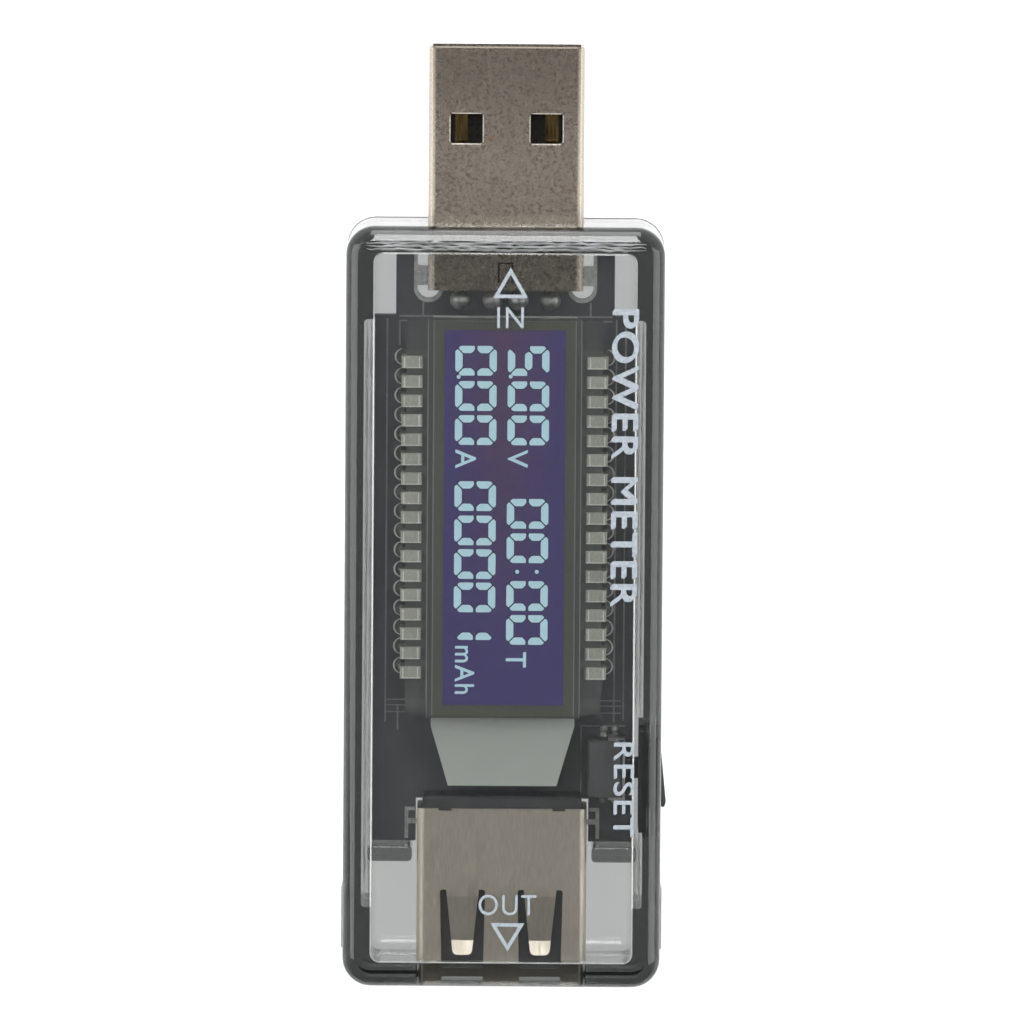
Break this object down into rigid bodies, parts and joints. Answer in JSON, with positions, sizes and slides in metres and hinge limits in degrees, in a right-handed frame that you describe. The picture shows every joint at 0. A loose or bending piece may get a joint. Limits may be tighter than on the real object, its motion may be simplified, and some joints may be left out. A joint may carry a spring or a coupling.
{
  "type": "usb power meter",
  "caption": "In-line USB power meter: plug on one end, socket on the other, segment display in a smoked see-through case, side reset key.",
  "frame": {"origin": "centre of the case's flat back face", "axes": "+Z out of the display, +Y towards the plug's tip, +X towards the side with the reset key"},
  "size_m": [0.0252, 0.0724, 0.012],
  "materials": {
    "smoked_front": "gloss",
    "smoked_rear": "gloss",
    "key_black": "satin",
    "board_mask": "satin",
    "display_picture": "gloss",
    "display_glass": "gloss",
    "display_back": "gloss",
    "pin_metal": "satin",
    "solder": "gloss",
    "diffuser_white": "matte",
    "film_white": "matte",
    "lamp_white": "satin",
    "plug_nickel": "satin",
    "socket_nickel": "satin",
    "insulator_black": "satin",
    "tongue_black": "satin",
    "contact_gold": "polished",
    "cover_steel": "satin",
    "switch_black": "satin",
    "chip_black": "matte",
    "resistor_black": "satin",
    "capacitor_tan": "satin"
  },
  "bodies": {
    "root": {"front_shell": "smoked_front", "rear_shell": "smoked_rear", "main_board": "board_mask", "lcd_front_polariser": "display_picture", "lcd_front_glass": "display_glass", "lcd_rear_glass": "display_glass", "lcd_rear_polariser": "display_back", "lcd_pins_left": "pin_metal", "lcd_pins_right": "pin_metal", "lcd_pin_solder": "solder", "light_guide": "diffuser_white", "reflector_film": "film_white", "backlight_led": "lamp_white", "led_leads": "pin_metal", "plug_shell": "plug_nickel", "plug_insulator": "tongue_black", "plug_contacts": "contact_gold", "plug_solder": "solder", "plug_shell_solder": "solder", "socket_shell": "socket_nickel", "socket_insulator": "insulator_black", "socket_contacts": "contact_gold", "socket_solder": "solder", "socket_shell_solder": "solder", "switch_body": "switch_black", "switch_cover": "cover_steel", "switch_dome": "cover_steel", "switch_terminals": "pin_metal", "switch_solder": "solder", "controller_chip": "chip_black", "controller_leads": "pin_metal", "memory_chip": "chip_black", "memory_leads": "pin_metal", "regulator": "chip_black", "regulator_leads": "pin_metal", "shunt_resistor": "resistor_black", "shunt_terminals": "solder", "chip_capacitors": "capacitor_tan", "chip_resistors": "resistor_black", "chip_end_caps": "solder"},
    "reset_key_body": {"reset_key": "key_black", "switch_plunger": "key_black"}
  },
  "joints": [
    {"name": "reset_press", "type": "slide", "parent": "root", "child": "reset_key_body", "axis": [-1, 0, 0], "range_m": [0, 0.0003], "stiffness_N_per_m": 1500}
  ]
}
